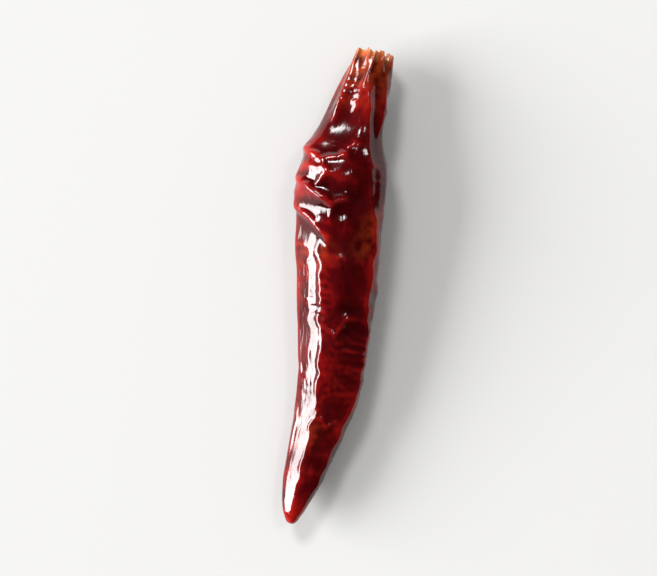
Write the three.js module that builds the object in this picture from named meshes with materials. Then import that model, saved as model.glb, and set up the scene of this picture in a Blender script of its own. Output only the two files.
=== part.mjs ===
// A dried red chilli pod without its stem, lying on its side.
// Millimetres. +Y runs from the tip to the stem end, +Z is up, and the pod rests on Z = 0.
// The skin is one closed surface: rings round a bent midline, from the floor of the open
// mouth at the stem end, over the torn lip, along the outside and round the blunt tip.
import * as THREE from "three";

// Places along the pod, from the stem end
const POD_LENGTH = 56;
const NECK_LENGTH = 6.5;
const SHOULDER_AT = 9.5;
const BELLY_AT = 15.5;
const WAIST_AT = 27.5;

// Places along the pod, from the tip
const TAPER_FROM_TIP = 16;
const NOSE_LENGTH = 5.6;

// Widths seen from above
const LIP_WIDTH = 5;
const NECK_WIDTH = 6.9;
const SHOULDER_WIDTH = 7.9;
const BELLY_WIDTH = 11;
const WAIST_WIDTH = 9.7;
const TAPER_WIDTH = 7.7;
const NOSE_WIDTH = 5.2;
const NOSE_BLUNTNESS = 0.24; // 0 ends in a point, 0.5 in a flat end
const NOSE_CLOSING_AT = 0.6; // where the nose closes in, as a share of its length
const NOSE_CLOSING_WIDTH = 0.74; // how wide it still is there, as a share of its width

// The open mouth
const MOUTH_WIDTH = 3.2;
const MOUTH_DEPTH = 4;
const LIP_THICKNESS = 0.35;
const MOUTH_STRAIGHT = 1.05; // how deep the mouth goes before it narrows

// Height over width of the cross-section
const BELLY_FLATNESS = 0.78;
const END_FLATNESS = 0.92;

// How far the midline leaves a straight line, sideways
const BELLY_SWAY = 1.3; // towards -X
const BELLY_SWAY_AT = 0.9; // where it is greatest, as a share of BELLY_AT
const WAIST_SWAY = 0.12; // towards +X
const TAPER_SWAY = 1.2; // towards +X
const NOSE_HOOK = 0.21; // back towards -X, halfway along the nose
const TIP_HOOK = 0.35; // back towards -X

// How the pod sits on its resting face
const REST_CUT = 0.36; // how much of the underside is pressed flat
const NECK_LIFT = 1.3;
const NECK_LIFT_LENGTH = 13;
const TIP_LIFT = 0.9;
const TIP_LIFT_LENGTH = 12;

// Flat sides, where the dried skin has drawn tight between two ridges. Each starts at a
// distance from the stem end and stops at a distance from the tip.
const FLAT_SIDES = [
  { facing: 140, drift: -12, depth: 0.1, fromStem: 19, fromTip: 0, fade: 7 },
  { facing: 52, drift: 16, depth: 0.075, fromStem: 11, fromTip: 6, fade: 8 },
  { facing: -38, drift: 10, depth: 0.11, fromStem: 13, fromTip: 3, fade: 8 },
  { facing: 208, drift: 8, depth: 0.08, fromStem: 12, fromTip: 8, fade: 8 },
  { facing: 100, drift: 20, depth: 0.09, fromStem: 1, fromTip: 41, fade: 4 },
];
const RIDGE_SHARPNESS = 26;

// Pleats that gather the skin into the mouth
const PLEAT_COUNT = 7;
const PLEAT_DEPTH = 0.34;
const PLEAT_TWIST = 0.05; // radians for each millimetre along the pod
const PLEAT_FADE_LENGTH = 12;

// Creases across the belly, on the side that faces up and towards -X, placed from the widest place
const CREASES = [
  { pastBelly: -2.3, depth: 0.34, width: 0.95, slant: 1.1 },
  { pastBelly: 1.1, depth: 0.42, width: 1.0, slant: -0.8 },
  { pastBelly: 3.9, depth: 0.36, width: 0.9, slant: 0.9 },
  { pastBelly: 6.9, depth: 0.3, width: 1.0, slant: -1.0 },
];
const CREASE_FACING = 125;

// Fineness of the mesh
const SEGMENTS = 30;
const RINGS = 98;
const PLACE_TOLERANCE = 1e-6;

const radians = THREE.MathUtils.degToRad;
const { smoothstep, lerp } = THREE.MathUtils;

// Where the outside is told its half width: x is the distance from the stem end.
const taperAt = POD_LENGTH - TAPER_FROM_TIP;
const noseStart = POD_LENGTH - NOSE_LENGTH;
const stations = [
  new THREE.Vector2(NECK_LENGTH, NECK_WIDTH / 2),
  new THREE.Vector2(SHOULDER_AT, SHOULDER_WIDTH / 2),
  new THREE.Vector2(BELLY_AT, BELLY_WIDTH / 2),
  new THREE.Vector2(WAIST_AT, WAIST_WIDTH / 2),
  new THREE.Vector2(taperAt, TAPER_WIDTH / 2),
  new THREE.Vector2(noseStart, NOSE_WIDTH / 2),
];

// Half of the lengthwise section, from the floor of the mouth round to the tip.
function outline() {
  const path = new THREE.Path();
  path.moveTo(MOUTH_DEPTH, 0);
  path.bezierCurveTo(
    MOUTH_DEPTH, MOUTH_WIDTH / 2,
    MOUTH_STRAIGHT, MOUTH_WIDTH / 2,
    LIP_THICKNESS, MOUTH_WIDTH / 2,
  );
  path.quadraticCurveTo(-LIP_THICKNESS, (MOUTH_WIDTH + LIP_WIDTH) / 4, LIP_THICKNESS, LIP_WIDTH / 2);
  path.splineThru(stations);
  path.bezierCurveTo(
    noseStart + NOSE_LENGTH * NOSE_CLOSING_AT, (NOSE_WIDTH / 2) * NOSE_CLOSING_WIDTH,
    POD_LENGTH, NOSE_WIDTH * NOSE_BLUNTNESS,
    POD_LENGTH, 0,
  );
  return path;
}

// The midline seen from above: one long S with a small hook at the tip.
const midline = new THREE.SplineCurve([
  new THREE.Vector2(0, 0),
  new THREE.Vector2(BELLY_AT * BELLY_SWAY_AT, -BELLY_SWAY),
  new THREE.Vector2((BELLY_AT + taperAt) / 2, WAIST_SWAY),
  new THREE.Vector2(taperAt, TAPER_SWAY),
  new THREE.Vector2(POD_LENGTH - NOSE_LENGTH / 2, -NOSE_HOOK),
  new THREE.Vector2(POD_LENGTH, -TIP_HOOK),
]);

// The y of a curve where its x is the distance from the stem end, found by halving.
function heightOf(curve, distance) {
  let low = 0;
  let high = 1;
  while (high - low > PLACE_TOLERANCE) {
    const middle = (low + high) / 2;
    if (curve.getPoint(middle).x < distance) low = middle;
    else high = middle;
  }
  return curve.getPoint(low).y;
}

// Height over width at a distance from the stem end: rounder at both ends.
function flatnessAt(distance) {
  const fromEnds = Math.min(distance / BELLY_AT, (POD_LENGTH - distance) / BELLY_AT);
  return lerp(END_FLATNESS, BELLY_FLATNESS, smoothstep(fromEnds, 0, 1));
}

// How far the underside stands off the surface that the pod rests on.
function liftAt(distance) {
  const neck = 1 - smoothstep(distance, 0, NECK_LIFT_LENGTH);
  const tip = smoothstep(distance, POD_LENGTH - TIP_LIFT_LENGTH, POD_LENGTH);
  return NECK_LIFT * neck + TIP_LIFT * tip;
}

// Cosine of the angle between a direction round the section and the way a feature faces.
const facing = (angle, degrees) => Math.cos(angle - radians(degrees));

// Radius of the section as a share of a full round one. The flat sides meet in soft ridges.
function roundness(angle, distance) {
  let sum = 1;
  for (const side of FLAT_SIDES) {
    const start = side.fromStem;
    const end = POD_LENGTH - side.fromTip;
    const cosine = facing(angle, side.facing + (side.drift * (distance - start)) / (end - start));
    if (cosine <= 0) continue;
    const present = smoothstep(distance, start - side.fade / 2, start + side.fade / 2)
      * (1 - smoothstep(distance, end - side.fade / 2, end + side.fade / 2));
    const limit = (1 - side.depth * present) / cosine;
    if (present > 0) sum += limit ** -RIDGE_SHARPNESS;
  }
  return sum ** (-1 / RIDGE_SHARPNESS);
}

// Depth of the pleats and creases at a place on the skin, in millimetres.
function foldDepth(angle, distance) {
  const pleat = 0.5 - 0.5 * Math.cos(PLEAT_COUNT * (angle + PLEAT_TWIST * distance));
  let depth = PLEAT_DEPTH * pleat * (1 - smoothstep(distance, 0, PLEAT_FADE_LENGTH));
  const present = smoothstep(facing(angle, CREASE_FACING), 0, 1);
  const turned = Math.sin(angle - radians(CREASE_FACING));
  for (const crease of CREASES) {
    const place = BELLY_AT + crease.pastBelly + crease.slant * turned;
    const across = (distance - place) / crease.width;
    depth += crease.depth * Math.exp(-across * across) * present;
  }
  return depth;
}

// Half width of the body with no rounding at the nose, which sets the height of the midline.
const body = new THREE.SplineCurve([
  new THREE.Vector2(0, LIP_WIDTH / 2),
  ...stations,
  new THREE.Vector2(POD_LENGTH, NOSE_WIDTH / 2),
]);

// One point of the skin. Inside the mouth it is a smaller share of the outer half width.
function skinPoint(angle, distance, halfWidth, fullHalfWidth) {
  const share = fullHalfWidth > 0 ? halfWidth / fullHalfWidth : 0;
  const folded = roundness(angle, distance) * halfWidth - foldDepth(angle, distance) * share;
  const flatness = flatnessAt(distance);
  const centreHeight = heightOf(body, distance) * flatness - REST_CUT + liftAt(distance);
  return new THREE.Vector3(
    heightOf(midline, distance) + folded * Math.cos(angle),
    -distance,
    Math.max(0, centreHeight + folded * flatness * Math.sin(angle)),
  );
}

// Half width of the outside at a distance from the stem end.
function outerHalfWidth(points, distance) {
  const outer = points.slice(points.findIndex((point) => point.y >= LIP_WIDTH / 2));
  const next = outer.findIndex((point) => point.x >= distance);
  if (next <= 0) return outer[0].y;
  const [a, b] = [outer[next - 1], outer[next]];
  return lerp(a.y, b.y, (distance - a.x) / (b.x - a.x));
}

// The whole skin as one closed geometry: a pole, the rings, and a pole.
function podGeometry() {
  const points = outline().getSpacedPoints(RINGS);
  const positions = [];
  points.forEach((point, ring) => {
    const isPole = ring === 0 || ring === RINGS;
    const full = outerHalfWidth(points, point.x);
    for (let segment = 0; segment < (isPole ? 1 : SEGMENTS); segment += 1) {
      const angle = (segment / SEGMENTS) * 2 * Math.PI;
      positions.push(...skinPoint(angle, point.x, isPole ? 0 : point.y, full).toArray());
    }
  });
  const indices = [];
  const vertex = (ring, segment) => {
    if (ring === 0) return 0;
    if (ring === RINGS) return 1 + (RINGS - 1) * SEGMENTS;
    return 1 + (ring - 1) * SEGMENTS + (segment % SEGMENTS);
  };
  for (let ring = 0; ring < RINGS; ring += 1) {
    for (let segment = 0; segment < SEGMENTS; segment += 1) {
      const a = vertex(ring, segment);
      const b = vertex(ring, segment + 1);
      const c = vertex(ring + 1, segment + 1);
      const d = vertex(ring + 1, segment);
      if (ring > 0) indices.push(a, b, d);
      if (ring < RINGS - 1) indices.push(b, c, d);
    }
  }
  const geometry = new THREE.BufferGeometry();
  geometry.setAttribute("position", new THREE.Float32BufferAttribute(positions, 3));
  geometry.setIndex(indices);
  geometry.computeBoundingBox();
  const centre = geometry.boundingBox.getCenter(new THREE.Vector3());
  geometry.translate(-centre.x, -centre.y, 0);
  geometry.computeVertexNormals();
  return geometry;
}

const skin = new THREE.MeshStandardMaterial({ color: 0x6a0a0c, roughness: 0.22, metalness: 0 });
const pod = new THREE.Mesh(podGeometry(), skin);
pod.name = "chilli_pod";

const chilli = new THREE.Group();
chilli.add(pod);

export default chilli;
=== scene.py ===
"""A dried red chilli pod without its stem, lying on its side on a pale floor.

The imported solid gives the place, the length and the girth of the pod. Geometry Nodes lay
rings of points on that solid. A thin film that is too large for its shrunken core is then
settled on them, and it gathers into folds, wrinkles and crinkles, as a drying skin does.
Everything is in metres and in the solid's own frame: +Y runs from the tip to the stem end
and +Z is up.
"""

from __future__ import annotations

import logging
import math
from dataclasses import dataclass
from enum import Enum

import bpy
import numpy as np
from mathutils import Matrix, Vector


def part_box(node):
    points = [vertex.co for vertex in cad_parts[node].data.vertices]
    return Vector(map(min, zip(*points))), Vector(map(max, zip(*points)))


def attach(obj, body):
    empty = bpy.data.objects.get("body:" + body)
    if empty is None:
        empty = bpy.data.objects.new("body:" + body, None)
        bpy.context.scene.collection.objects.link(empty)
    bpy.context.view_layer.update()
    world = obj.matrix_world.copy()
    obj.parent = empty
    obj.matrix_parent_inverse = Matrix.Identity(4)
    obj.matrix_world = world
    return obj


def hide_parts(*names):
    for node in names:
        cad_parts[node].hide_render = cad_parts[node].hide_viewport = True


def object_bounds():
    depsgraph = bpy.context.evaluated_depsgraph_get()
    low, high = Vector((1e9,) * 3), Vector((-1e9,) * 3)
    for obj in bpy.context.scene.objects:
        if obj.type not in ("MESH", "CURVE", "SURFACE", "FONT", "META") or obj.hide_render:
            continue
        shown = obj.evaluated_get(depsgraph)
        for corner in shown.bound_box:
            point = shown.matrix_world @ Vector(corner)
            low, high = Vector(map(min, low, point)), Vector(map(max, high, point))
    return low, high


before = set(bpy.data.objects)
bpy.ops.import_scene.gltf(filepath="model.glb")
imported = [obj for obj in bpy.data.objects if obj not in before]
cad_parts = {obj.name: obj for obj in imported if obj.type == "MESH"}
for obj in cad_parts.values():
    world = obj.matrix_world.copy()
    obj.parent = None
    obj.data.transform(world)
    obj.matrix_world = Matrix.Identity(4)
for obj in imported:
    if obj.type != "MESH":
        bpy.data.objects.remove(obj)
CAD_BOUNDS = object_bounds()

LOG = logging.getLogger("chilli")
MM = 0.001
TINY = 1e-12
NEIGHBOUR_SHARE = 0.25
POD_NODE = "chilli_pod"
ROOT_BODY = "root"
Triple = tuple[float, float, float]
Limits = tuple[float, float]
Springs = tuple[int, int, float, np.ndarray]


def add_object(name: str, data: bpy.types.ID) -> bpy.types.Object:
    """Make an object and link it to the scene.

    Args:
        name: The object's name.
        data: What it holds.

    Returns:
        The new object.
    """
    made = bpy.data.objects.new(name, data)
    bpy.context.scene.collection.objects.link(made)
    return made


def corners_of(mesh: bpy.types.Mesh) -> np.ndarray:
    """Read the corners of a mesh.

    Args:
        mesh: The mesh.

    Returns:
        One row for each corner.
    """
    flat = np.empty(len(mesh.vertices) * 3, np.float32)
    mesh.vertices.foreach_get("co", flat)
    return flat.reshape(-1, 3).astype(float)


# ---------------------------------------------------------------- node trees


class Sock:
    """An output socket whose arithmetic adds Math or Vector Math nodes to its tree."""

    def __init__(self, graph: "Graph", socket: bpy.types.NodeSocket) -> None:
        """Keep the socket and the graph that it belongs to."""
        self.graph = graph
        self.socket = socket

    @property
    def is_vector(self) -> bool:
        """Whether the socket carries three numbers."""
        return self.socket.type in {"VECTOR", "RGBA"}

    def _binary(self, operation: str, other: object, swapped: bool = False) -> "Sock":
        """Join two values with one node.

        Args:
            operation: The Math or Vector Math operation.
            other: A socket, a number or three numbers.
            swapped: Whether the other value comes first.

        Returns:
            The result's socket.
        """
        is_vector = self.is_vector or (isinstance(other, Sock) and other.is_vector)
        is_vector = is_vector or isinstance(other, tuple)
        if is_vector and isinstance(other, (int, float)):
            other = (other,) * 3
        kind = "ShaderNodeVectorMath" if is_vector else "ShaderNodeMath"
        pair = (other, self) if swapped else (self, other)
        return self.graph.add(kind, {"operation": operation}, {0: pair[0], 1: pair[1]})

    def __add__(self, other: object) -> "Sock":
        """Sum."""
        return self._binary("ADD", other)

    def __radd__(self, other: object) -> "Sock":
        """Sum, reflected."""
        return self._binary("ADD", other, swapped=True)

    def __sub__(self, other: object) -> "Sock":
        """Difference."""
        return self._binary("SUBTRACT", other)

    def __rsub__(self, other: object) -> "Sock":
        """Difference, reflected."""
        return self._binary("SUBTRACT", other, swapped=True)

    def __mul__(self, other: object) -> "Sock":
        """Product."""
        return self._binary("MULTIPLY", other)

    def __rmul__(self, other: object) -> "Sock":
        """Product, reflected."""
        return self._binary("MULTIPLY", other, swapped=True)

    def __truediv__(self, other: object) -> "Sock":
        """Quotient."""
        return self._binary("DIVIDE", other)

    def __rtruediv__(self, other: object) -> "Sock":
        """Quotient, reflected."""
        return self._binary("DIVIDE", other, swapped=True)

    def at_least(self, low: object) -> "Sock":
        """The larger of this value and another."""
        return self._binary("MAXIMUM", low)

    def at_most(self, high: object) -> "Sock":
        """The smaller of this value and another."""
        return self._binary("MINIMUM", high)

    def unary(self, operation: str) -> "Sock":
        """One Math function of this value, such as FLOOR or SINE."""
        return self.graph.add("ShaderNodeMath", {"operation": operation}, {0: self})

    def smooth(self, low: float, high: float) -> "Sock":
        """A soft step from 0 at low to 1 at high."""
        settings = {"interpolation_type": "SMOOTHSTEP"}
        return self.graph.add("ShaderNodeMapRange", settings, {0: self, 1: low, 2: high})


class Graph:
    """A node tree with one way to add a node."""

    def __init__(self, tree: bpy.types.NodeTree) -> None:
        """Keep the tree."""
        self.tree = tree

    def add(
        self,
        kind: str,
        settings: dict[str, object] | None = None,
        sockets: dict[int | str, object] | None = None,
        output: int | str = 0,
    ) -> Sock:
        """Add a node.

        Args:
            kind: The node's type.
            settings: Properties of the node, set before its sockets.
            sockets: Values or links of the input sockets, by name or number.
            output: The output socket wanted, by name or number.

        Returns:
            That output socket.
        """
        node = self.tree.nodes.new(kind)
        for name, value in (settings or {}).items():
            setattr(node, name, value)
        for key, value in (sockets or {}).items():
            if isinstance(value, Sock):
                self.tree.links.new(value.socket, node.inputs[key])
            elif isinstance(value, tuple) and node.inputs[key].type == "RGBA":
                node.inputs[key].default_value = (*value, 1.0)[:4]
            else:
                node.inputs[key].default_value = value
        found = node.outputs[output] if node.outputs else node.inputs[0]
        return Sock(self, found)

    def mix(self, share: Sock, first: object, second: object) -> Sock:
        """Blend two colours by a share from 0 to 1."""
        sockets = {0: share, 6: first, 7: second}
        return self.add("ShaderNodeMix", {"data_type": "RGBA"}, sockets, 2)

    def ramp(self, value: Sock, stops: list[tuple[float, Triple]]) -> Sock:
        """Colour a value by a ramp.

        Args:
            value: The value, from 0 to 1.
            stops: Places on the ramp and their linear colours.

        Returns:
            The colour.
        """
        made = self.add("ShaderNodeValToRGB", None, {0: value})
        elements = made.socket.node.color_ramp.elements
        while len(elements) < len(stops):
            elements.new(0.5)
        for element, (place, colour) in zip(elements, stops):
            element.position = place
            element.color = (*colour, 1.0)
        return made

    def noise(self, where: Sock, size: object, detail: float, seed: object) -> Sock:
        """Noise from 0 to 1 whose patches are about size metres across.

        Args:
            where: The place that the noise is read at, in metres.
            size: The size of a patch, in metres, as a number or a socket.
            detail: How many finer layers it has.
            seed: A fixed shift that makes it unlike its neighbours.

        Returns:
            The noise value.
        """
        sockets = {"Vector": where, "W": seed, "Scale": 1.0 / size, "Detail": detail}
        return self.add("ShaderNodeTexNoise", {"noise_dimensions": "4D"}, sockets, 0)


class NodesModifier:
    """A Geometry Nodes tree with named inputs that is run once on an object."""

    def __init__(self, name: str) -> None:
        """Start an empty tree with a geometry input and output.

        Args:
            name: The tree's name.
        """
        self.tree = bpy.data.node_groups.new(name, "GeometryNodeTree")
        self.tree.interface.new_socket("Geometry", in_out="INPUT", socket_type="NodeSocketGeometry")
        self.tree.interface.new_socket("Geometry", in_out="OUTPUT", socket_type="NodeSocketGeometry")
        self.graph = Graph(self.tree)
        self.values: dict[str, object] = {}
        self.entry = self.tree.nodes.new("NodeGroupInput")

    def input(self, name: str, socket_type: str, value: object) -> Sock:
        """Add a named input.

        Args:
            name: The input's name.
            socket_type: Its socket type, without the common first words.
            value: The value that the modifier gives it.

        Returns:
            The input's socket inside the tree.
        """
        kind = "NodeSocket" + socket_type
        made = self.tree.interface.new_socket(name, in_out="INPUT", socket_type=kind)
        self.values[made.identifier] = value
        return Sock(self.graph, self.entry.outputs[name])

    def geometry(self) -> Sock:
        """The geometry that comes in."""
        return Sock(self.graph, self.entry.outputs["Geometry"])

    def run(
        self, shape: Sock, material: bpy.types.Material, target: bpy.types.Object
    ) -> bpy.types.Mesh:
        """End the tree, run it on an object and take the result as a plain mesh.

        Args:
            shape: The finished geometry.
            material: The material that the result wears.
            target: The object that carries the modifier.

        Returns:
            The new mesh. The modifier is gone from the object.
        """
        wearing = self.input("Material", "Material", material)
        real = self.graph.add("GeometryNodeRealizeInstances", None, {"Geometry": shape})
        worn = {"Geometry": real, "Material": wearing}
        dressed = self.graph.add("GeometryNodeSetMaterial", None, worn)
        self.graph.add("NodeGroupOutput", None, {0: dressed})
        modifier = target.modifiers.new(self.tree.name, "NODES")
        modifier.node_group = self.tree
        for identifier, value in self.values.items():
            modifier[identifier] = value
        depsgraph = bpy.context.evaluated_depsgraph_get()
        mesh = bpy.data.meshes.new_from_object(target.evaluated_get(depsgraph))
        target.modifiers.remove(modifier)
        return mesh


# ------------------------------------------------------------------- finish


class Layer(float, Enum):
    """The fixed shift that makes each layer of noise unlike the others."""

    CLOUD = 3.1
    CROSS_LINES = 5.0
    LENGTH_LINES = 6.0
    MOTTLE = 7.7
    GRAIN = 9.0
    PATCHES = 11.4
    WEAR = 15.0
    SPECKS = 21.0
    LINE_ZONES = 33.0


@dataclass(frozen=True)
class SkinFinish:
    """Dried chilli skin: deep oxblood red under a wet-looking gloss.

    Colours are linear. Sizes are in metres. A pair of limits is the start and the end of a
    soft step.
    """

    shade: Triple = (0.009, 0.0004, 0.0007)
    body: Triple = (0.054, 0.0011, 0.0018)
    bright: Triple = (0.29, 0.0064, 0.0042)
    amber: Triple = (0.36, 0.046, 0.008)
    torn: Triple = (0.46, 0.150, 0.045)
    # the inner wall's own colour, darker than the torn lip; its share rising with depth paints the shade
    # in the mouth
    inside: Triple = (0.17, 0.022, 0.010)
    body_at: float = 0.45
    lightness: float = 0.14
    # weight of the painted light on crests and painted shade in hollows, read from the relief
    relief_light_and_shade: float = 0.60
    cloud_weight: float = 0.95
    mottle_weight: float = 0.60
    # strength and reach of a painted soft highlight on the tip
    tip_highlight_weight: float = 0.5
    half_length: float = 28.0 * MM
    tip_highlight_reach: float = 3.4 * MM
    neck_reach: float = 9.0 * MM
    cloud_size: float = 7.0 * MM
    mottle_size: float = 1.3 * MM
    patch_size: float = 11.2 * MM
    patch_limits: Limits = (0.60, 0.74)
    patch_amber: float = 0.34
    neck_amber: float = 0.75
    most_amber: float = 0.8
    amber_limits: Limits = (0.35, 0.62)
    speck_size: float = 0.22 * MM
    speck_limits: Limits = (0.70, 0.80)
    speck_share: float = 0.35
    grain_size: float = 0.09 * MM
    grain_height: float = 0.0022 * MM
    cross_size: float = 0.55 * MM
    cross_height: float = 0.013 * MM
    cross_stretch: Triple = (0.22, 1.0, 0.22)
    cross_limits: Limits = (0.40, 0.66)
    length_size: float = 0.6875 * MM
    length_height: float = 0.010 * MM
    length_stretch: Triple = (1.0, 0.16, 1.0)
    length_limits: Limits = (0.36, 0.62)
    line_sharpness: float = 5.0
    zone_size: float = 3.9 * MM
    wear_size: float = 2.6 * MM
    wear_limits: Limits = (0.35, 0.75)
    wear_dullness: float = 0.6
    lip_dullness: float = 0.5
    gloss_low: float = 0.09
    gloss_high: float = 0.26
    inside_roughness: float = 0.3
    ior: float = 1.38
    coat: float = 0.28
    coat_roughness: float = 0.06
    coat_ior: float = 1.5
    flesh: float = 0.10
    flesh_radius: Triple = (1.0, 0.12, 0.05)
    flesh_depth: float = 0.9 * MM

    def red(self, graph: Graph, where: Sock, relief: Sock, mottle: Sock) -> Sock:
        """The red of whole skin, with painted light on the crests and painted shade in the hollows.

        Args:
            graph: The material's tree.
            where: Place on the straightened pod, in metres.
            relief: Height of the skin over its neighbourhood, -1 to 1.
            mottle: The small mottling, 0 to 1.

        Returns:
            The colour.
        """
        cloud = graph.noise(where, self.cloud_size, 2.0, Layer.CLOUD)
        # painted soft highlight: the red lightens over the last few millimetres of the tip
        from_tip = self.along(graph, where) + self.half_length
        tip = (1.0 - from_tip / self.tip_highlight_reach).at_least(0.0)
        # painted light and shade: the red is lighter on the crests and darker in the hollows of the relief
        light = (relief * 0.5 + 0.5) * self.relief_light_and_shade
        light = light + (cloud - 0.5) * self.cloud_weight
        light = light + (mottle - 0.5) * self.mottle_weight
        light = light + tip * self.tip_highlight_weight + self.lightness
        stops = [(0.0, self.shade), (self.body_at, self.body), (1.0, self.bright)]
        return graph.ramp(light, stops)

    def colour(self, graph: Graph, where: Sock, relief: Sock, mouth: Sock, inner: Sock) -> Sock:
        """Work out the colour over the skin.

        Args:
            graph: The material's tree.
            where: Place on the straightened pod, in metres.
            relief: Height of the skin over its neighbourhood, -1 to 1.
            mouth: 1 at the torn lip, 0 away from it.
            inner: Share of the darker inside colour, 1 deep inside the mouth, 0 outside, which paints
                shade that deepens into the mouth.

        Returns:
            The base colour.
        """
        mottle = graph.noise(where, self.mottle_size, 3.0, Layer.MOTTLE)
        patches = graph.noise(where, self.patch_size, 1.0, Layer.PATCHES).smooth(*self.patch_limits)
        from_stem = self.half_length - self.along(graph, where)
        neck = (1.0 - from_stem / self.neck_reach).at_least(0.0)
        thin = (patches * self.patch_amber + neck * neck * self.neck_amber).at_most(self.most_amber)
        thin = thin * mottle.smooth(*self.amber_limits)
        warm = graph.mix(thin, self.red(graph, where, relief, mottle), self.amber)
        specks = graph.noise(where, self.speck_size, 1.0, Layer.SPECKS).smooth(*self.speck_limits)
        freckled = graph.mix(specks * self.speck_share, warm, self.shade)
        edge = graph.mix(mouth, freckled, self.torn)
        # painted shade in the mouth: deeper in, the torn colour gives way to the darker inside colour
        return graph.mix(inner, edge, self.inside)

    def height(self, graph: Graph, where: Sock) -> Sock:
        """Work out the finest relief, too small for the mesh.

        Args:
            graph: The material's tree.
            where: Place on the straightened pod, in metres.

        Returns:
            Its height, in metres.
        """
        cross = self.lines(graph, where * self.cross_stretch, self.cross_size, Layer.CROSS_LINES)
        length = self.lines(graph, where * self.length_stretch, self.length_size, Layer.LENGTH_LINES)
        zone = graph.noise(where, self.zone_size, 1.0, Layer.LINE_ZONES)
        crossed = cross * zone.smooth(*self.cross_limits) * self.cross_height
        lengthwise = length * (1.0 - zone).smooth(*self.length_limits) * self.length_height
        grain = graph.noise(where, self.grain_size, 2.0, Layer.GRAIN)
        return crossed + lengthwise + grain * self.grain_height

    def lines(self, graph: Graph, where: Sock, size: float, layer: Layer) -> Sock:
        """Thin raised lines with soft hollows between them, from 0 to 1.

        Args:
            graph: The material's tree.
            where: The place, stretched the way that the lines run.
            size: The distance between lines, in metres.
            layer: The layer of noise that they follow.

        Returns:
            The height of the lines.
        """
        away = (graph.noise(where, size, 2.0, layer) - 0.5).unary("ABSOLUTE")
        crest = (1.0 - away * self.line_sharpness).at_least(0.0)
        return crest * crest

    @staticmethod
    def along(graph: Graph, where: Sock) -> Sock:
        """The place along the pod, from the tip's side to the stem's."""
        return graph.add("ShaderNodeSeparateXYZ", None, {0: where}, "Y")

    @staticmethod
    def painted(graph: Graph, name: str, output: str = "Fac") -> Sock:
        """Read what the mesh stores under a name."""
        return graph.add("ShaderNodeAttribute", {"attribute_name": name}, None, output)

    def material(self) -> bpy.types.Material:
        """Build the material.

        Returns:
            The finished material.
        """
        made = bpy.data.materials.new("dried_chilli_skin")
        made.use_nodes = True
        made.node_tree.nodes.clear()
        graph = Graph(made.node_tree)
        where = self.painted(graph, "skin_place", "Vector")
        relief = self.painted(graph, "relief")
        mouth = self.painted(graph, "lip")
        inner = self.painted(graph, "inside")
        wear = graph.noise(where, self.wear_size, 3.0, Layer.WEAR).smooth(*self.wear_limits)
        dull = (wear * self.wear_dullness + mouth * self.lip_dullness + inner).at_most(1.0)
        rough = dull * (self.gloss_high - self.gloss_low) + self.gloss_low
        bump = {"Strength": 1.0, "Distance": 1.0, "Height": self.height(graph, where)}
        shader = {
            "Base Color": self.colour(graph, where, relief, mouth, inner),
            "Roughness": rough + inner * self.inside_roughness,
            "Normal": graph.add("ShaderNodeBump", None, bump),
            "IOR": self.ior,
            "Coat Weight": (1.0 - dull) * self.coat,
            "Coat Roughness": self.coat_roughness,
            "Coat IOR": self.coat_ior,
            "Subsurface Weight": self.flesh,
            "Subsurface Radius": self.flesh_radius,
            "Subsurface Scale": self.flesh_depth,
        }
        surface = graph.add("ShaderNodeBsdfPrincipled", None, shader)
        graph.add("ShaderNodeOutputMaterial", None, {"Surface": surface})
        return made


# --------------------------------------------------------------- the film


def smooth_step(value: np.ndarray, low: float, high: float) -> np.ndarray:
    """A soft step from 0 at low to 1 at high."""
    share = np.clip((value - low) / (high - low), 0.0, 1.0)
    return share * share * (3.0 - 2.0 * share)


def round_laplacian(points: np.ndarray) -> np.ndarray:
    """Second difference round the pod, where the columns close on themselves."""
    return np.roll(points, -1, 1) + np.roll(points, 1, 1) - 2.0 * points


def laplacian(points: np.ndarray) -> np.ndarray:
    """Second difference both ways, but only round the pod in the end rows.

    Args:
        points: Rows and columns of points or values.

    Returns:
        The second differences.
    """
    result = round_laplacian(points)
    result[1:-1] += points[2:] + points[:-2] - 2.0 * points[1:-1]
    return result


def radius_of(rings: np.ndarray) -> np.ndarray:
    """Mean distance of each ring's points from the ring's middle."""
    return np.linalg.norm(rings - rings.mean(-2, keepdims=True), axis=-1).mean(-1)


def blur(points: np.ndarray, times: int) -> np.ndarray:
    """Average each point with its neighbours.

    Args:
        points: Rows and columns of points or values.
        times: How many times.

    Returns:
        The smoothed rows and columns. The first and last rows keep their place.
    """
    result = points.copy()
    for _ in range(times):
        result += NEIGHBOUR_SHARE * round_laplacian(result)
        result[1:-1] += NEIGHBOUR_SHARE * (result[2:] + result[:-2] - 2.0 * result[1:-1])
    return result


def normals_of(points: np.ndarray) -> np.ndarray:
    """Outward directions of a grid of points.

    Args:
        points: Rows and columns of points.

    Returns:
        One unit vector for each point.
    """
    across = np.roll(points, -1, 1) - np.roll(points, 1, 1)
    along = np.gradient(points, axis=0)
    normal = np.cross(across, along)
    return normal / np.maximum(np.linalg.norm(normal, axis=2, keepdims=True), TINY)


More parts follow.
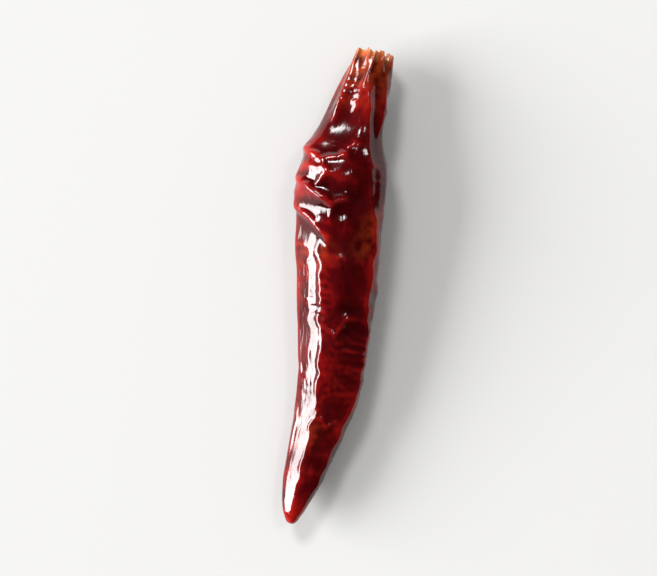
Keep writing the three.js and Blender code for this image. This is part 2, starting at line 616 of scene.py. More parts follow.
def finer(values: np.ndarray) -> np.ndarray:
    """Double the rows and columns of a grid, through smooth curves.

    Each new point is 9/16 of its two nearest ones less 1/16 of the next two.

    Args:
        values: Rows and columns of points or values.

    Returns:
        A grid of 2 * rows - 1 rows and 2 * columns columns.
    """
    before, after = 2.0 * values[:1] - values[1:2], 2.0 * values[-1:] - values[-2:-1]
    padded = np.concatenate([before, values, after])
    halfway = (9.0 * (padded[1:-2] + padded[2:-1]) - padded[:-3] - padded[3:]) / 16.0
    rows = np.empty((2 * len(values) - 1, *values.shape[1:]))
    rows[0::2], rows[1::2] = values, halfway
    near, far = rows + np.roll(rows, -1, 1), np.roll(rows, 1, 1) + np.roll(rows, -2, 1)
    result = np.empty((len(rows), 2 * rows.shape[1], *rows.shape[2:]))
    result[:, 0::2], result[:, 1::2] = rows, (9.0 * near - far) / 16.0
    return result


class Fineness(Enum):
    """The three sizes of crease that the skin gathers into, coarse to fine."""

    FOLDS = 0
    WRINKLES = 1
    CRINKLES = 2


@dataclass(frozen=True)
class Film:
    """A thin skin held to a shrunken core by soft springs.

    Stiffnesses are per grid cell, against a stretch stiffness of 1. The skin is held mostly
    against sinking in, less against standing off, and least against sliding.
    """

    bend: float
    hold: float
    steps: int
    grip: float = 0.35
    outward: float = 0.55
    inward: float = 2.2
    shear: float = 0.5
    keep_speed: float = 0.94
    step_squared: float = 0.18
    cap: float = 1.2 * MM

    def springs(self, base: np.ndarray, extra_round: np.ndarray, extra_along: np.ndarray) -> list[Springs]:
        """Rest lengths of the four families of edges.

        Args:
            base: The core's grid of points.
            extra_round: How much too long the film is round the pod, as a share.
            extra_along: The same along it.

        Returns:
            For each family its row step, column step, stiffness and rest lengths.
        """
        families = []
        round_edge = np.linalg.norm(np.roll(base, -1, 1) - base, axis=2)
        along_edge = np.linalg.norm(base[1:] - base[:-1], axis=2)
        families.append((0, 1, 1.0, round_edge * (1.0 + extra_round)))
        families.append((1, 0, 1.0, along_edge * (1.0 + extra_along[:-1])))
        for step in (1, -1):
            edge = np.roll(base, -step, 1)[1:] - base[:-1]
            length = np.linalg.norm(edge, axis=2)
            share = (round_edge[:-1] / np.maximum(length, TINY)) ** 2
            extra = share * extra_round[:-1] + (1.0 - share) * extra_along[:-1]
            families.append((1, step, self.shear, length * (1.0 + extra)))
        return families

    def pull(self, force: np.ndarray, points: np.ndarray, family: Springs) -> None:
        """Add the pull of one family of edges to the forces.

        Args:
            force: The force on each point, which is added to.
            points: Where the points are now.
            family: The family of edges.
        """
        row_step, column_step, stiffness, rest = family
        ahead = np.roll(points, -column_step, 1) if column_step else points
        last = len(points) - row_step
        edge = ahead[row_step:] - points[:last]
        length = np.sqrt(np.einsum("ijk,ijk->ij", edge, edge))
        tension = edge * (stiffness * (1.0 - rest / np.maximum(length, TINY)))[..., None]
        force[:last] += tension
        force[row_step:] -= np.roll(tension, column_step, 1) if column_step else tension

    def settle(
        self,
        base: np.ndarray,
        start: np.ndarray,
        extra_round: np.ndarray,
        extra_along: np.ndarray,
        firm: np.ndarray,
    ) -> np.ndarray:
        """Let the film find its folds.

        Args:
            base: The core's grid of points.
            start: The film's first place.
            extra_round: How much too long the film is round the pod, as a share.
            extra_along: The same along it.
            firm: How much more firmly than usual each point is held.

        Returns:
            The settled grid of points.
        """
        normal = normals_of(base)
        families = self.springs(base, extra_round, extra_along)
        hold = (self.hold * firm)[..., None]
        flat = laplacian(base)
        points, speed = start.copy(), np.zeros_like(start)
        for _ in range(self.steps):
            offset = points - base
            height = np.einsum("ijk,ijk->ij", offset, normal)[..., None]
            side = np.where(height > 0.0, self.outward, self.inward)
            force = -hold * self.grip * (offset - height * normal)
            force -= hold * (side * height) * normal
            for family in families:
                self.pull(force, points, family)
            curl = laplacian(points) - flat
            spread = round_laplacian(curl)
            spread[2:] += curl[1:-1]
            spread[:-2] += curl[1:-1]
            spread[1:-1] -= 2.0 * curl[1:-1]
            force -= self.bend * spread
            speed = self.keep_speed * speed + self.step_squared * force
            points += speed
            sunk = points[..., 2] < 0.0
            points[..., 2][sunk] = 0.0
            speed[..., 2][sunk] = 0.0
        offset = points - base
        reach = np.linalg.norm(offset, axis=2, keepdims=True)
        return base + offset * np.minimum(1.0, self.cap / np.maximum(reach, TINY))


# ----------------------------------------------------------------- the pod


@dataclass(frozen=True)
class Ridge:
    """A crest that the drying skin is drawn up into.

    Points are a distance from the stem end and an angle round the pod, in millimetres and
    degrees. Height, width and the sideways wave are in millimetres. The wave is two sines,
    so that it doesn't repeat along the crest.
    """

    points: tuple[tuple[float, float], ...]
    height: float = 0.28
    width: float = 0.8
    wave: float = 0.0
    period: float = 4.1

    def rise(self, from_stem: np.ndarray, angle: np.ndarray, girth: np.ndarray) -> np.ndarray:
        """Height of the crest over each place.

        Args:
            from_stem: Distance from the stem end.
            angle: Angle round the pod, in degrees.
            girth: Length of one degree round the pod.

        Returns:
            The height, in millimetres.
        """
        phase = math.tau * from_stem / self.period
        slower = 0.7 * np.sin(0.58 * phase + 2.0)
        shift = self.wave * (np.sin(phase + 0.9 * np.sin(from_stem)) + slower)
        nearest = np.full(np.broadcast_shapes(from_stem.shape, angle.shape), np.inf)
        for (start, start_angle), (end, end_angle) in zip(self.points, self.points[1:]):
            middle = (start_angle + end_angle) / 2.0
            turned = (angle - middle + 180.0) % 360.0 - 180.0
            across, along = turned * girth + shift, from_stem - (start + end) / 2.0
            run, side = (end - start) / 2.0, (end_angle - start_angle) / 2.0 * girth
            share = (along * run + across * side) / (run**2 + side**2)
            share = np.clip(share, -1.0, 1.0)
            gap = np.hypot(along - share * run, across - share * side)
            nearest = np.minimum(nearest, gap)
        return self.height * np.exp(-nearest / self.width)


UPPER_RIDGE = ((5, 72), (10, 52), (16, 40), (23, 22), (29, 26), (36, 12), (44, 30), (51, 34))
LEFT_RIDGE = ((9, 192), (15, 188), (21, 178), (30, 174), (38, 171), (45, 169), (51, 168))
LOWER_RIDGE = ((7, 318), (13, 334), (19, 322), (27, 338), (33, 314), (41, 330), (50, 345))
UNDER_RIDGE = ((12, 250), (19, 268), (26, 258), (34, 292), (40, 276), (46, 270))
RIDGES = (
    Ridge(((20.5, 132), (26, 124), (34, 120), (43, 114), (51, 108)), 0.10, 1.1, 0.22),
    Ridge(UPPER_RIDGE, 0.20, 1.0, 0.12, 6.3),
    Ridge(LEFT_RIDGE, 0.10, 0.8, 0.12, 5.2),
    Ridge(((22, 148), (30, 146), (40, 142), (51, 136)), 0.10, 1.6, 0.10, 3.3),
    Ridge(((13, 218), (21, 226), (30, 220), (38, 232), (45, 222)), 0.18, 0.8, 0.2, 5.2),
    Ridge(UNDER_RIDGE, 0.22, 0.8, 0.2, 5.9),
    Ridge(LOWER_RIDGE, 0.24, 0.8, 0.2, 4.7),
    Ridge(((12.6, 172), (13.7, 132), (12.8, 96)), 0.28, 0.6),
    Ridge(((16.0, 176), (17.2, 140), (18.6, 104), (17.8, 84)), 0.30, 0.6),
    Ridge(((19.2, 180), (20.4, 146), (22.4, 112)), 0.28, 0.6),
    Ridge(((13.7, 132), (15.2, 118), (17.2, 138)), 0.16, 0.5),
    Ridge(((23.5, 200), (25.0, 222), (24.2, 250)), 0.20, 0.6),
    Ridge(((27.0, 8), (28.6, -14), (27.8, -38)), 0.16, 0.9),
    Ridge(((33.5, 222), (35.0, 246), (34.4, 285)), 0.20, 0.6),
    Ridge(((37.5, 10), (38.8, -8), (37.6, -34)), 0.14, 0.9),
    Ridge(((31.0, 60), (33.4, 84), (32.6, 104)), 0.10, 0.7),
    Ridge(((42.6, 40), (44.0, 66), (42.8, 92)), 0.10, 0.7),
)


@dataclass(frozen=True)
class Crumple:
    """A zone where the skin has shrunk less than elsewhere and crumples more.

    Places and reaches are in millimetres along the pod and degrees round it. A negative
    excess marks a zone that has stayed taut.
    """

    from_stem: float
    angle: float
    length: float
    turn: float
    excess: float

    def share(self, from_stem: np.ndarray, angle: np.ndarray) -> np.ndarray:
        """Extra excess at each place.

        Args:
            from_stem: Distance from the stem end.
            angle: Angle round the pod, in degrees.

        Returns:
            The excess, largest in the middle of the zone.
        """
        turned = (angle - self.angle + 180.0) % 360.0 - 180.0
        away = ((from_stem - self.from_stem) / self.length) ** 2 + (turned / self.turn) ** 2
        return self.excess * np.exp(-away)


CRUMPLES = (
    Crumple(17.5, 135.0, 4.5, 45.0, 0.070),
    Crumple(28.0, 350.0, 7.0, 40.0, 0.034),
    Crumple(37.0, 250.0, 8.0, 50.0, 0.055),
    Crumple(43.0, 20.0, 4.0, 28.0, 0.030),
    Crumple(24.0, 225.0, 5.0, 30.0, 0.050),
    Crumple(8.5, 95.0, 3.0, 30.0, 0.035),
    Crumple(12.0, 320.0, 4.0, 50.0, 0.040),
    Crumple(38.0, 152.0, 13.0, 22.0, -0.030),
)


@dataclass(frozen=True)
class Gather:
    """How much too large the skin has stayed, for one size of crease.

    An excess is a share of the core's length. Patches are counted along the pod and round it.
    """

    film: Film
    around: float
    around_neck: float
    around_crumple: float
    around_spread: float
    around_patches: tuple[int, int]
    along: float
    along_crumple: float
    along_spread: float
    along_patches: tuple[int, int]
    least_crumple: float = -1.0
    crest_share: float = 0.0


GATHERS = {
    Fineness.FOLDS: Gather(
        Film(bend=0.035, hold=0.0025, steps=420),
        around=0.012, around_neck=0.045, around_crumple=0.7,
        around_spread=0.012, around_patches=(9, 5),
        along=0.004, along_crumple=1.0, along_spread=0.010, along_patches=(10, 4),
        crest_share=0.7,
    ),
    Fineness.WRINKLES: Gather(
        Film(bend=0.030, hold=0.0040, steps=320),
        around=0.012, around_neck=0.015, around_crumple=0.5,
        around_spread=0.012, around_patches=(16, 8),
        along=0.008, along_crumple=0.5, along_spread=0.014, along_patches=(18, 7),
        crest_share=0.4,
    ),
    Fineness.CRINKLES: Gather(
        Film(bend=0.025, hold=0.0100, steps=160),
        around=0.006, around_neck=0.0, around_crumple=0.2,
        around_spread=0.010, around_patches=(24, 10),
        along=0.017, along_crumple=0.2, along_spread=0.012, along_patches=(26, 9),
        least_crumple=0.0,
    ),
}


@dataclass
class PodSkin:
    """The pod's skin, from the laid rings to the dressed mesh.

    A pair of limits is the start and the end of a soft step, in millimetres.
    """

    rows: int = 107
    columns: int = 54
    first_ring: float = 0.45 * MM
    nose_radius: float = 2.0 * MM
    nose_turn: float = math.radians(84.0)
    reach: float = 12.0 * MM
    midline_points: int = 60
    midline_band: float = 0.8 * MM
    midline_smoothing: int = 6
    core_inset: float = 0.34 * MM
    start_noise: float = 0.15
    patch_spread: float = 1.6
    neck_limits: Limits = (4.0, 13.0)
    tip_limits: Limits = (1.0, 8.0)
    tip_firmness: float = 4.0
    stem_firmness: float = 6.0
    stem_fade: float = 1.2
    crest_rise: Limits = (1.0, 6.0)
    crest_fall: Limits = (47.0, 54.0)
    neck_unevenness: float = 0.34 * MM
    most_outward: float = 0.12 * MM
    neck_waves: tuple[int, ...] = (2, 3, 5)
    twist_waves: tuple[int, ...] = (4, 6, 9)
    wave_sizes: Limits = (0.6, 1.0)
    uneven_limits: Limits = (1.0, 12.0)
    twist_limits: Limits = (0.0, 9.0)
    wall: float = 0.26 * MM
    wall_growth: float = 0.06
    wall_rows: tuple[int, ...] = (60, 48, 38, 30, 23, 17, 12, 8, 5, 3, 1)
    wall_shade: float = 0.35
    wall_shade_rows: float = 12.0
    rim_shade: float = 0.25
    lip_crown: float = 0.35
    lip_rows: int = 22
    lip_fade: float = 1.5
    lip_raggedness: float = 0.95 * MM
    lip_tears: tuple[tuple[int, float], ...] = ((7, 0.5), (16, 0.35), (43, 0.15))
    lip_wilt: float = 0.26 * MM
    lip_waves: tuple[int, ...] = (3, 7, 11)
    mouth_floor: float = 0.4 * MM
    tip_rows: int = 14
    tip_gap: float = 0.20 * MM
    tip_slope_rows: int = 2
    tip_first_depth: float = 0.45
    tip_fullness: float = 0.58
    tip_closure: float = 0.97
    tip_point: float = 0.002 * MM
    relief_reach: int = 40
    relief_full: float = 0.16 * MM
    torn_rows: float = 3.0
    pucker_size: float = 0.9 * MM
    pucker_height: float = 0.014 * MM
    pucker_middle: float = 0.55
    pucker_seed: float = 4.0
    seed: int = 20

    def __post_init__(self) -> None:
        """Start the random draws and read the solid's corners."""
        self.random = np.random.default_rng(self.seed)
        low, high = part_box(POD_NODE)
        self.tip, self.stem = low.y, high.y

    def from_stem(self, grid: np.ndarray) -> np.ndarray:
        """Distance of each point from the stem end, in millimetres."""
        return (self.stem - grid[..., 1]) / MM

    def midline(self) -> bpy.types.Object:
        """Draw the solid's midline as a curve.

        Returns:
            The curve object, from the stem end to the centre of the nose.
        """
        corners = corners_of(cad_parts[POD_NODE].data)
        ends = (self.stem - self.first_ring, self.tip + self.nose_radius)
        places = np.linspace(*ends, self.midline_points)
        middle = []
        for place in places:
            near = corners[np.abs(corners[:, 1] - place) < self.midline_band]
            middle.append((near.min(0) + near.max(0)) / 2.0)
        line = np.array(middle)
        line[:, 1] = places
        for _ in range(self.midline_smoothing):
            bend = line[2:, ::2] + line[:-2, ::2] - 2.0 * line[1:-1, ::2]
            line[1:-1, ::2] += NEIGHBOUR_SHARE * bend
        curve = bpy.data.curves.new("midline", "CURVE")
        curve.dimensions = "3D"
        spline = curve.splines.new("POLY")
        spline.points.add(len(line) - 1)
        for point, place in zip(spline.points, line):
            point.co = (*place, 1.0)
        return add_object("midline", curve)

    def lay_rings(self, material: bpy.types.Material) -> np.ndarray:
        """Lay rings of points on the solid with Geometry Nodes.

        Args:
            material: The skin's material.

        Returns:
            Rows from the stem end to the tip, and columns round the pod from +X by +Z.
        """
        length = self.stem - self.first_ring - self.tip - self.nose_radius
        nose = self.nose_radius * self.nose_turn
        midline = self.midline()
        nodes = NodesModifier("lay_rings")
        graph = nodes.graph
        solid = nodes.input("Solid", "Object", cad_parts[POD_NODE])
        line = nodes.input("Midline", "Object", midline)
        rows = nodes.input("Rows", "Int", self.rows)
        columns = nodes.input("Columns", "Int", self.columns)
        reach = nodes.input("Reach", "Float", self.reach)
        straight = nodes.input("Straight share", "Float", length / (length + nose))
        turn = nodes.input("Nose turn", "Float", self.nose_turn)
        index = graph.add("GeometryNodeInputIndex")
        row = ((index + 0.5) / columns).unary("FLOOR")
        angle = (index - row * columns) / columns * math.tau
        along = row / (rows - 1)
        shape = graph.add("GeometryNodeObjectInfo", None, {"Object": line}, "Geometry")
        share = (along / straight).at_most(1.0)
        sampling = {"mode": "FACTOR", "use_all_curves": True}
        centre = graph.add("GeometryNodeSampleCurve", sampling, {"Curves": shape, "Factor": share},
                           "Position")
        lean = ((along - straight) / (1.0 - straight)).at_least(0.0) * turn
        flatten = lean.unary("COSINE")
        parts = {0: angle.unary("COSINE") * flatten, 1: 0.0 - lean.unary("SINE"),
                 2: angle.unary("SINE") * flatten}
        outward = graph.add("ShaderNodeCombineXYZ", None, parts)
        target = graph.add("GeometryNodeObjectInfo", None, {"Object": solid}, "Geometry")
        ray = {"Target Geometry": target, "Source Position": centre + outward * reach,
               "Ray Direction": outward * -1.0, "Ray Length": reach}
        hit = graph.add("GeometryNodeRaycast", None, ray, "Hit Position")
        grid = graph.add("GeometryNodeMeshGrid", None, {"Vertices X": rows, "Vertices Y": columns})
        laid = graph.add("GeometryNodeSetPosition", None, {"Geometry": grid, "Position": hit})
        carrier = add_object("rings", bpy.data.meshes.new("rings"))
        points = corners_of(nodes.run(laid, material, carrier))
        bpy.data.objects.remove(carrier)
        bpy.data.objects.remove(midline)
        return points.reshape(self.rows, self.columns, 3)

    def patches(self, shape: tuple[int, int], along: int, around: int) -> np.ndarray:
        """Smooth random patches over the skin, with a mean of 0 and a spread of about 1.

        Args:
            shape: Rows and columns wanted.
            along: How many patches along the pod.
            around: How many patches round it.

        Returns:
            One value for each point.
        """
        coarse = self.random.standard_normal((along + 3, around))
        row = np.linspace(0.0, along, shape[0])
        column = np.arange(shape[1]) / shape[1] * around

        def weights(value: np.ndarray) -> tuple[np.ndarray, np.ndarray]:
            """Cell and blending share of each place."""
            cell = np.floor(value).astype(int)
            return cell, smooth_step(value - cell, 0.0, 1.0)

        (row_cell, row_share), (column_cell, column_share) = weights(row), weights(column)
        next_column = (column_cell + 1) % around
        column_cell = column_cell % around

        def blend(values: np.ndarray) -> np.ndarray:
            """Values between the columns of coarse rows."""
            near, far = values[:, column_cell], values[:, next_column]
            return near * (1 - column_share) + far * column_share

        top, low = blend(coarse[row_cell]), blend(coarse[row_cell + 1])
        row_share = row_share[:, None]
        return self.patch_spread * (top * (1 - row_share) + low * row_share)

    def excess(
        self, base: np.ndarray, fineness: Fineness
    ) -> tuple[np.ndarray, np.ndarray, np.ndarray]:
        """How much too large the skin has stayed, place by place.

        Args:
            base: The grid of points.
            fineness: The size of crease.

        Returns:
            The excess round the pod, the excess along it, and how firmly each point is held.
        """
        gather, shape = GATHERS[fineness], base.shape[:2]
        from_stem = self.from_stem(base)
        from_tip = (base[..., 1] - self.tip) / MM
        angle = np.linspace(0.0, 360.0, shape[1], endpoint=False)[None, :]
        neck = 1.0 - smooth_step(from_stem, *self.neck_limits)
        tip = 1.0 - smooth_step(from_tip, *self.tip_limits)
        crumpled = sum(zone.share(from_stem, angle) for zone in CRUMPLES)
        around = gather.around + gather.around_neck * neck + gather.around_crumple * crumpled
        around = around + gather.around_spread * self.patches(shape, *gather.around_patches)
        crumpled = np.maximum(crumpled, gather.least_crumple)
        along = gather.along + gather.along_crumple * crumpled
        along = along + gather.along_spread * self.patches(shape, *gather.along_patches)
        alive = 1.0 - tip
        firm = 1.0 + self.tip_firmness * tip
        firm = firm + self.stem_firmness * np.exp(-from_stem / self.stem_fade)
        return np.maximum(around, 0.0) * alive, np.maximum(along, 0.0) * alive, firm

    def crests(self, base: np.ndarray, fineness: Fineness) -> np.ndarray:
        """How far the ridges stand off the skin at one fineness.

        Args:
            base: The grid of points.
            fineness: The size of crease.

        Returns:
            The height of the ridges, in metres.
        """
        share = GATHERS[fineness].crest_share
        if not share:
            return np.zeros(base.shape[:2])
        from_stem = self.from_stem(base)
        angle = np.linspace(0.0, 360.0, base.shape[1], endpoint=False)[None, :]
        girth = radius_of(base)[:, None] / MM * math.radians(1.0)
        rises = [ridge.rise(from_stem, angle, girth) for ridge in RIDGES]
        rising = smooth_step(from_stem, *self.crest_rise)
        falling = 1.0 - smooth_step(from_stem, *self.crest_fall)
        return np.maximum.reduce(rises) * rising * falling * share * MM

    def shrink(self, base: np.ndarray) -> np.ndarray:
        """Gather the skin into folds, then wrinkles, then crinkles.

        Args:
            base: The laid rings.

        Returns:
            The finest grid of points.
        """
        core = blur(self.uneven_neck(base), 2)
        core -= normals_of(core) * self.core_inset
        for fineness in Fineness:
            if fineness is not Fineness.FOLDS:
                core = finer(core)
            core = core + normals_of(core) * self.crests(core, fineness)[..., None]
            around, along, firm = self.excess(core, fineness)
            cell = np.linalg.norm(core[1:] - core[:-1], axis=2).mean()
            noise = blur(self.random.standard_normal(core.shape[:2]), 2) * cell * self.start_noise
            start = core + normals_of(core) * noise[..., None]
            settled = GATHERS[fineness].film.settle(core, start, around, along, firm)
            moved = np.linalg.norm(settled - core, axis=2)
            LOG.info("%s: cell %.3f mm, moved %.3f mm, most %.3f mm", fineness.name,
                     cell / MM, moved.mean() / MM, moved.max() / MM)
            core = settled
        return core

    def mouth_rows(self, skin: np.ndarray) -> tuple[np.ndarray, np.ndarray]:
        """The wall inside the open mouth and the lip.

        Args:
            skin: The outer grid, whose first row is the rim.

        Returns:
            Rows from deep inside to the rim, and each row's share of the darker inside colour, 0 to 1,
            which paints shade that deepens into the mouth.
        """
        rows, depth = [], []
        for number in self.wall_rows:
            rows.append(self.inward(skin[number], self.wall * (1.0 + self.wall_growth * number)))
            # painted shade: rows deeper in the mouth take more of the darker inside colour
            depth.append(min(1.0, self.wall_shade + number / self.wall_shade_rows))
        rim = self.inward(skin[0], self.wall)
        lip = (rim + skin[0]) / 2.0 + np.array([0.0, self.lip_crown * self.wall, 0.0])
        rows += [rim, lip]
        depth += [self.rim_shade, 0.0]
        return np.array(rows), np.array(depth)

    @staticmethod
    def inward(ring: np.ndarray, distance: float) -> np.ndarray:
        """Draw a ring towards its own middle, so that it can't cross itself or its source.

        Args:
            ring: The points of the ring.
            distance: How far they move, on average.

        Returns:
            The smaller ring.
        """
        centre = ring.mean(0)
        return centre + (ring - centre) * (1.0 - distance / radius_of(ring))

    def waves(self, columns: int, cycles: tuple[int, ...]) -> np.ndarray:
        """Random smooth waves round the pod, within about -1 to 1.

        Args:
            columns: How many points there are round the pod.
            cycles: How many waves each layer has.

        Returns:
            One value for each column.
        """
        angle = np.linspace(0.0, math.tau, columns, endpoint=False)
        phases = self.random.uniform(0.0, math.tau, len(cycles))
        sizes = self.random.uniform(*self.wave_sizes, len(cycles))
        layers = [size * np.sin(count * angle + phase)
                  for count, phase, size in zip(cycles, phases, sizes)]
        return sum(layers) / math.sqrt(len(cycles))

    def uneven_neck(self, base: np.ndarray) -> np.ndarray:
        """Collapse the neck unevenly, so that its pleats are not alike.

        Args:
            base: The laid rings.

        Returns:
            The rings with an uneven neck.
        """
        from_stem = self.from_stem(base)
        wave = self.waves(base.shape[1], self.neck_waves)
        twisted = self.waves(base.shape[1], self.twist_waves)
        fade = 1.0 - smooth_step(from_stem, *self.uneven_limits)
        share = smooth_step(from_stem, *self.twist_limits)
        offset = (wave * (1.0 - share) + twisted * share) * fade * self.neck_unevenness
        return base + normals_of(base) * np.minimum(offset, self.most_outward)[..., None]

    def tear_lip(self, skin: np.ndarray) -> np.ndarray:
        """Give the rim an uneven, torn edge that has wilted in and out.

        Args:
            skin: The settled grid of points.

        Returns:
            The grid with its first rows drawn to a torn edge.
        """
        columns = skin.shape[1]
        steps = np.arange(columns)
        ragged = sum(self.random.standard_normal(count)[steps * count // columns] * share
                     for count, share in self.lip_tears)
        ragged = blur(ragged[None, :].repeat(3, 0), 1)[1]
        ragged = (ragged - ragged.min()) / (ragged.max() - ragged.min())
        from_rim = np.arange(len(skin))[:, None]
        fade = np.maximum(1.0 - from_rim / self.lip_rows, 0.0) ** self.lip_fade
        torn = skin.copy()
        torn[..., 1] += fade * (self.first_ring - self.lip_raggedness * ragged)
        wilt = self.lip_wilt * self.waves(columns, self.lip_waves) * fade
        return torn + normals_of(skin) * wilt[..., None]

    def close_tip(self, skin: np.ndarray) -> np.ndarray:
        """Draw the last rows together over a rounded tip.

        The profile is one cubic curve that leaves the skin at the skin's own slope and
        arrives at the end square to the pod.

        Args:
            skin: The settled grid of points.

        Returns:
            The grid, whose last row is a very small ring at the end of the tip.
        """
        first = len(skin) - 1 - self.tip_rows
        before, base = skin[first - self.tip_slope_rows], skin[first]
        centre, radius = base.mean(0), radius_of(base)
        narrowing = (radius_of(before) - radius) / (before.mean(0)[1] - centre[1])
        reach = centre[1] - self.tip - self.tip_gap
        first_size = 1.0 - narrowing * self.tip_first_depth * reach / radius
        closed = skin.copy()
        for row in range(1, self.tip_rows + 1):
            gone = self.tip_closure * row / self.tip_rows
            left = 1.0 - gone
            early, late = 3.0 * left**2 * gone, 3.0 * left * gone**2
            size = left**3 + early * first_size + late * self.tip_fullness
            depth = early * self.tip_first_depth + late + gone**3
            ring = centre + (base - centre) * size
            closed[first + row] = ring - np.array([0.0, depth * reach, 0.0])
        return closed

    def mesh(self, skin: np.ndarray) -> bpy.types.Mesh:
        """Join the outside, the lip and the mouth into one closed mesh.

        Args:
            skin: The outer grid of points.

        Returns:
            The mesh, with its attributes.
        """
        inner, depth = self.mouth_rows(skin)
        grid = np.concatenate([inner, skin])
        floor = inner[0].mean(0) - np.array([0.0, self.mouth_floor, 0.0])
        point = skin[-1].mean(0) - np.array([0.0, self.tip_point, 0.0])
        rows, columns = grid.shape[:2]
        vertices = np.concatenate([grid.reshape(-1, 3), floor[None], point[None]])
        cell = np.arange((rows - 1) * columns)
        row, column = cell // columns, cell % columns
        beside = (column + 1) % columns
        quads = np.stack([row * columns + column, row * columns + beside,
                          (row + 1) * columns + beside, (row + 1) * columns + column], 1)
        ring = np.arange(columns)
        following = (ring + 1) % columns
        last = (rows - 1) * columns
        pole = rows * columns
        inner_cap = np.stack([np.full(columns, pole), following, ring], 1)
        outer_cap = np.stack([np.full(columns, pole + 1), last + ring, last + following], 1)
        made = bpy.data.meshes.new(POD_NODE + "_skin")
        faces = quads.tolist() + inner_cap.tolist() + outer_cap.tolist()
        made.from_pydata(vertices.tolist(), [], faces)
        made.shade_smooth()
        self.paint(made, grid, depth)
        return made

    def paint(self, mesh: bpy.types.Mesh, grid: np.ndarray, depth: np.ndarray) -> None:
        """Store what the material reads.

        Args:
            mesh: The pod's mesh.
            grid: Its rows and columns of points.
            depth: Each of the first rows' share of the darker inside colour, the painted shade in the
                mouth.
        """
        rows, columns = grid.shape[:2]
        # relief: height over the broad skin, which the material turns into painted light on crests and
        # painted shade in hollows
        broad = blur(grid, self.relief_reach)
        height = np.einsum("ijk,ijk->ij", grid - broad, normals_of(broad))
        relief = np.clip(height / self.relief_full, -1.0, 1.0)
        relief[: len(depth)] = 0.0
        tip = relief[-self.tip_rows:]
        tip += np.linspace(0.0, 1.0, self.tip_rows)[:, None] * (tip[0].mean() - tip)
        inside = np.zeros((rows, columns))
        # the mouth rows carry their share of the darker inside colour: painted shade in the recess
        inside[: len(depth)] = depth[:, None]
        outer_row = np.maximum(np.arange(rows) - len(depth), 0)
        lip = np.where(np.arange(rows) < len(depth), 1.0, np.exp(-outer_row / self.torn_rows))
        lip = np.repeat(lip[:, None], columns, 1)
        angle = np.linspace(0.0, math.tau, columns, endpoint=False)
        radius = radius_of(grid)[:, None]
        place = np.stack([radius * np.cos(angle), grid[..., 1], radius * np.sin(angle)], 2)
        painted = {"relief": (relief, (0.0, 0.0)), "inside": (inside, (1.0, 0.0)),
                   "lip": (lip, (0.0, 0.0))}
        for name, (values, poles) in painted.items():
            layer = mesh.attributes.new(name, "FLOAT", "POINT")
            layer.data.foreach_set("value", np.append(values.ravel(), poles).astype(np.float32))
        layer = mesh.attributes.new("skin_place", "FLOAT_VECTOR", "POINT")
        poles = np.array([place[0].mean(0), place[-1].mean(0)])
        places = np.concatenate([place.reshape(-1, 3), poles]).astype(np.float32)
        layer.data.foreach_set("vector", places.ravel())

    def roughen(self, piece: bpy.types.Object, material: bpy.types.Material) -> bpy.types.Mesh:
        """Add the finest relief that the mesh can carry, with Geometry Nodes.

        Args:
            piece: The object that wears the closed mesh.
            material: The skin's material.

        Returns:
            The roughened mesh, wearing the material.
        """
        nodes = NodesModifier("fine_relief")
        graph = nodes.graph
        size = nodes.input("Pucker size", "Float", self.pucker_size)
        high = nodes.input("Pucker height", "Float", self.pucker_height)
        middle = nodes.input("Pucker middle", "Float", self.pucker_middle)
        seed = nodes.input("Seed", "Float", self.pucker_seed)
        where = graph.add("GeometryNodeInputNamedAttribute", {"data_type": "FLOAT_VECTOR"},
                          {"Name": "skin_place"}, "Attribute")
        raised = (graph.noise(where, size, 3.0, seed) - middle) * high
        normal = graph.add("GeometryNodeInputNormal")
        offset = {"Geometry": nodes.geometry(), "Offset": normal * raised}
        moved = graph.add("GeometryNodeSetPosition", None, offset)
        return nodes.run(moved, material, piece)

    def build(self, material: bpy.types.Material) -> bpy.types.Object:
        """Make the pod.

        Args:
            material: The skin's material.

        Returns:
            The finished piece, in place.
        """
        rings = self.lay_rings(material)
        skin = self.close_tip(self.tear_lip(self.shrink(rings)))
        piece = add_object("dried_pod", self.mesh(skin))
        plain = piece.data
        piece.data = self.roughen(piece, material)
        bpy.data.meshes.remove(plain)
        return piece


# -------------------------------------------------------------- the studio


@dataclass(frozen=True)
class Lamp:
    """A soft rectangular lamp aimed at the pod.

    Angles are in degrees: where the lamp stands, and how wide and high it looks from the pod.
    Glow is its brightness, whatever its size.
    """

    name: str
    azimuth: float
    elevation: float
    spread: float
    rise: float
    glow: float
    distance: float = 2.4

    def place(self, target: Vector) -> None:
        """Make the lamp and turn it to a target.

        Args:
            target: The point that the lamp faces.
        """
        data = bpy.data.lights.new(self.name, "AREA")
        data.shape = "RECTANGLE"
        data.size = 2.0 * self.distance * math.tan(math.radians(self.spread / 2.0))
        data.size_y = 2.0 * self.distance * math.tan(math.radians(self.rise / 2.0))
        data.energy = self.glow * math.pi * data.size * data.size_y
        lamp = add_object(self.name, data)
        turn, rise = math.radians(self.azimuth), math.radians(self.elevation)
        flat = math.cos(rise)
        away = Vector((math.cos(turn) * flat, math.sin(turn) * flat, math.sin(rise)))
        lamp.location = target + away * self.distance
        lamp.rotation_mode = "QUATERNION"
        lamp.rotation_quaternion = away.to_track_quat("Z", "Y")


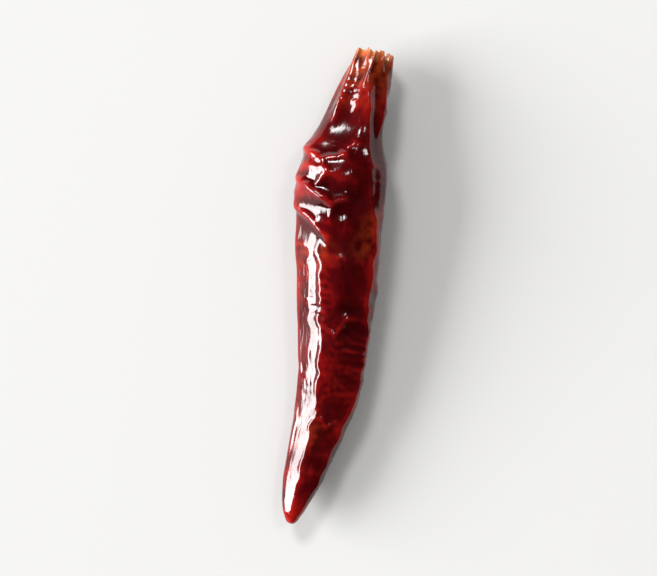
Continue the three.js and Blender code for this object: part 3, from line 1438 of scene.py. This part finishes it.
@dataclass
class Studio:
    """The pale floor, the soft light and the camera that looks straight down."""

    floor_size: float = 4.0
    floor_colour: Triple = (0.465, 0.463, 0.459)
    floor_roughness: float = 0.9
    floor_shine: float = 0.08
    sky: float = 0.55
    sky_colour: Triple = (1.0, 0.99, 0.98)
    lens: float = 90.0
    sensor: float = 36.0
    frame_width: int = 657
    frame_height: int = 576
    filled: float = 0.84
    lean: float = math.radians(9.8)
    clip_shares: Limits = (0.05, 20.0)
    lamps: tuple[Lamp, ...] = (
        Lamp("key", 187.0, 20.0, 44.0, 24.0, 26.0),
        Lamp("kicker", 124.0, 46.0, 15.0, 12.0, 36.0),
        Lamp("glint", 48.0, 62.0, 6.0, 10.0, 22.0),
    )

    def floor(self) -> None:
        """Lay the floor at the height that the pod rests on."""
        half = self.floor_size / 2.0
        mesh = bpy.data.meshes.new("floor")
        corners = [(-half, -half, 0), (half, -half, 0), (half, half, 0), (-half, half, 0)]
        mesh.from_pydata(corners, [], [(0, 1, 2, 3)])
        floor = add_object("floor", mesh)
        paint = bpy.data.materials.new("floor_paint")
        paint.use_nodes = True
        shader = paint.node_tree.nodes["Principled BSDF"]
        shader.inputs["Base Color"].default_value = (*self.floor_colour, 1.0)
        shader.inputs["Roughness"].default_value = self.floor_roughness
        shader.inputs["Specular IOR Level"].default_value = self.floor_shine
        mesh.materials.append(paint)

    def light(self, target: Vector) -> None:
        """Hang the lamps and light the sky, which shiny things don't mirror.

        Args:
            target: The point that the lamps face.
        """
        for lamp in self.lamps:
            lamp.place(target)
        world = bpy.data.worlds.new("studio")
        world.use_nodes = True
        back = world.node_tree.nodes["Background"]
        back.inputs["Color"].default_value = (*self.sky_colour, 1.0)
        back.inputs["Strength"].default_value = self.sky
        bpy.context.scene.world = world
        world.cycles_visibility.glossy = False

    def camera(self, low: Vector, high: Vector) -> None:
        """Put the camera straight over the pod, its top turned to the pod's lean.

        Args:
            low: The pod's lowest corner.
            high: The pod's highest corner.
        """
        centre = (low + high) / 2.0
        data = bpy.data.cameras.new("camera")
        data.lens, data.sensor_width = self.lens, self.sensor
        camera = add_object("camera", data)
        sensor_height = self.sensor * self.frame_height / self.frame_width
        span = (high.y - low.y) / self.filled
        distance = self.lens * span / sensor_height
        up = Vector((-math.sin(self.lean), math.cos(self.lean), 0.0))
        right = Vector((math.cos(self.lean), math.sin(self.lean), 0.0))
        turn = Matrix((right, up, Vector((0.0, 0.0, 1.0)))).transposed()
        camera.matrix_world = Matrix.Translation(centre + Vector((0, 0, distance))) @ turn.to_4x4()
        data.clip_start, data.clip_end = (distance * share for share in self.clip_shares)
        bpy.context.scene.camera = camera

    def build(self, low: Vector, high: Vector) -> None:
        """Set up the whole studio.

        Args:
            low: The pod's lowest corner.
            high: The pod's highest corner.
        """
        self.floor()
        self.light((low + high) / 2.0)
        self.camera(low, high)
        scene = bpy.context.scene
        scene.view_settings.view_transform = "Standard"
        scene.view_settings.look = "None"


def main() -> None:
    """Build the studio and the pod, and report each."""
    logging.basicConfig(level=logging.INFO, format="%(name)s: %(message)s")
    low, high = CAD_BOUNDS
    Studio().build(low, high)
    LOG.info("studio ready")
    pod = PodSkin().build(SkinFinish().material())
    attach(pod, ROOT_BODY)
    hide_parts(POD_NODE)
    LOG.info("%s: %d faces", pod.name, len(pod.data.polygons))


if __name__ == "__main__":
    main()
